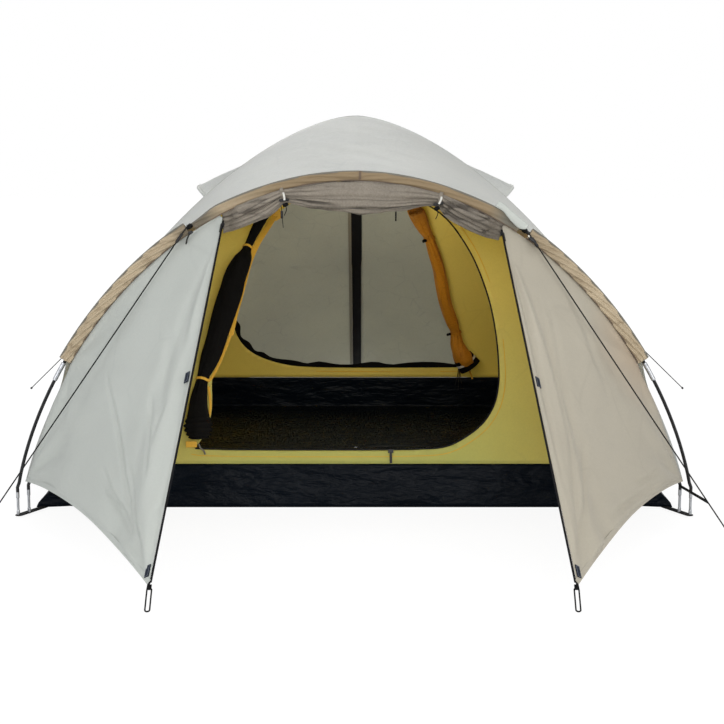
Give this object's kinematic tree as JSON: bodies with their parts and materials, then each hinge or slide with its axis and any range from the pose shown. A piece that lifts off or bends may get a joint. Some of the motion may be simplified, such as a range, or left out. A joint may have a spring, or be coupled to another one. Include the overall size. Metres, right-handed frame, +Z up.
{
  "type": "camping tent",
  "caption": "Pitched dome tent: two crossed poles, a front arch pole, a yellow inner tent with a door each end, and a grey fly with a front and a rear vestibule.",
  "frame": {"origin": "centre of the floor's underside, on the ground", "axes": "+Z up, the front door faces -Y, +X towards the right of someone facing the front door"},
  "size_m": [3.2232, 3.8916, 1.2974],
  "materials": {
    "pole_black": "smooth black glass-fibre pole",
    "silver": "plain turned aluminium",
    "webbing_black": "woven black webbing",
    "tub_black": "coated black groundsheet cloth with a slight sheen",
    "inner_yellow": "thin yellow inner tent cloth",
    "door_orange": "thin orange cloth, rolled",
    "door_mesh_black": "black fly mesh, rolled",
    "fly_grey": "light grey coated flysheet cloth",
    "panel_grey": "grey coated cloth",
    "panel_beige": "grey beige coated cloth",
    "sleeve_beige": "beige woven pole sleeve",
    "door_taupe": "taupe coated cloth, rolled",
    "zip_black": "black zip tape with a nylon coil",
    "line_grey": "braided dark grey cord",
    "runner_black": "moulded black plastic"
  },
  "bodies": {
    "tent": {"main_pole_a": "pole_black", "main_pole_b": "pole_black", "arch_pole": "pole_black", "main_tip_front_left": "silver", "main_tip_front_right": "silver", "main_tip_rear_left": "silver", "main_tip_rear_right": "silver", "arch_tip_left": "silver", "arch_tip_right": "silver", "arch_ferrule_left": "silver", "arch_ferrule_right": "silver", "corner_strap_front_left": "webbing_black", "corner_strap_front_right": "webbing_black", "corner_strap_rear_left": "webbing_black", "corner_strap_rear_right": "webbing_black", "floor_sheet": "tub_black", "floor_wall": "tub_black", "inner_front": "inner_yellow", "inner_rear": "inner_yellow", "inner_left": "inner_yellow", "inner_right": "inner_yellow", "inner_front_zip": "zip_black", "inner_rear_zip": "zip_black", "inner_front_door_roll": "door_mesh_black", "inner_rear_door_roll": "door_orange", "fly_left": "fly_grey", "fly_right": "fly_grey", "fly_front": "fly_grey", "fly_rear": "fly_grey", "rear_zip": "zip_black", "peg_loop_rear": "webbing_black", "peg_loop_left": "webbing_black", "peg_loop_right": "webbing_black", "vestibule_left": "panel_grey", "vestibule_right": "panel_beige", "vestibule_zip_left": "zip_black", "vestibule_zip_right": "zip_black", "arch_sleeve_left": "sleeve_beige", "arch_sleeve_middle": "sleeve_beige", "arch_sleeve_right": "sleeve_beige", "pole_loop_left": "webbing_black", "pole_loop_right": "webbing_black", "vestibule_door_roll": "door_taupe", "vent_hood_left": "fly_grey", "vent_hood_right": "fly_grey", "guy_line_front_left": "line_grey", "guy_line_front_right": "line_grey", "guy_line_rear_left": "line_grey", "guy_line_rear_right": "line_grey", "corner_guy_strap_right": "webbing_black"},
    "vestibule_slider_left": {"vestibule_slider_left": "runner_black"},
    "vestibule_slider_right": {"vestibule_slider_right": "runner_black"},
    "rear_slider": {"rear_slider": "runner_black"},
    "inner_front_slider": {"inner_front_slider": "runner_black"},
    "inner_rear_slider": {"inner_rear_slider": "runner_black"},
    "runner_front_left": {"runner_front_left": "runner_black"},
    "runner_front_right": {"runner_front_right": "runner_black"},
    "runner_rear_left": {"runner_rear_left": "runner_black"},
    "runner_rear_right": {"runner_rear_right": "runner_black"}
  },
  "joints": [
    {"name": "vestibule_slider_left_slide", "type": "slide", "parent": "tent", "child": "vestibule_slider_left", "axis": [-0.0954, -0.6903, -0.7172], "range_m": [-0.01, 1.17]},
    {"name": "vestibule_slider_right_slide", "type": "slide", "parent": "tent", "child": "vestibule_slider_right", "axis": [0.0989, -0.7012, -0.706], "range_m": [-0.01, 1.17]},
    {"name": "rear_slider_slide", "type": "slide", "parent": "tent", "child": "rear_slider", "axis": [0, 0.7825, -0.6226], "range_m": [-0.03, 1.55]},
    {"name": "inner_front_slider_slide", "type": "slide", "parent": "tent", "child": "inner_front_slider", "axis": [-1, 0, 0], "range_m": [0, 0.5]},
    {"name": "inner_rear_slider_slide", "type": "slide", "parent": "tent", "child": "inner_rear_slider", "axis": [1, 0, 0], "range_m": [0, 0.5]},
    {"name": "runner_front_left_slide", "type": "slide", "parent": "tent", "child": "runner_front_left", "axis": [-0.5299, -0.2953, -0.795], "range_m": [-0.01, 0.8]},
    {"name": "runner_front_right_slide", "type": "slide", "parent": "tent", "child": "runner_front_right", "axis": [0.5224, -0.3006, -0.7979], "range_m": [-0.01, 0.8]},
    {"name": "runner_rear_left_slide", "type": "slide", "parent": "tent", "child": "runner_rear_left", "axis": [-0.623, 0.5328, -0.5727], "range_m": [-0.03, 1.35]},
    {"name": "runner_rear_right_slide", "type": "slide", "parent": "tent", "child": "runner_rear_right", "axis": [0.623, 0.5328, -0.5727], "range_m": [-0.03, 1.35]}
  ]
}
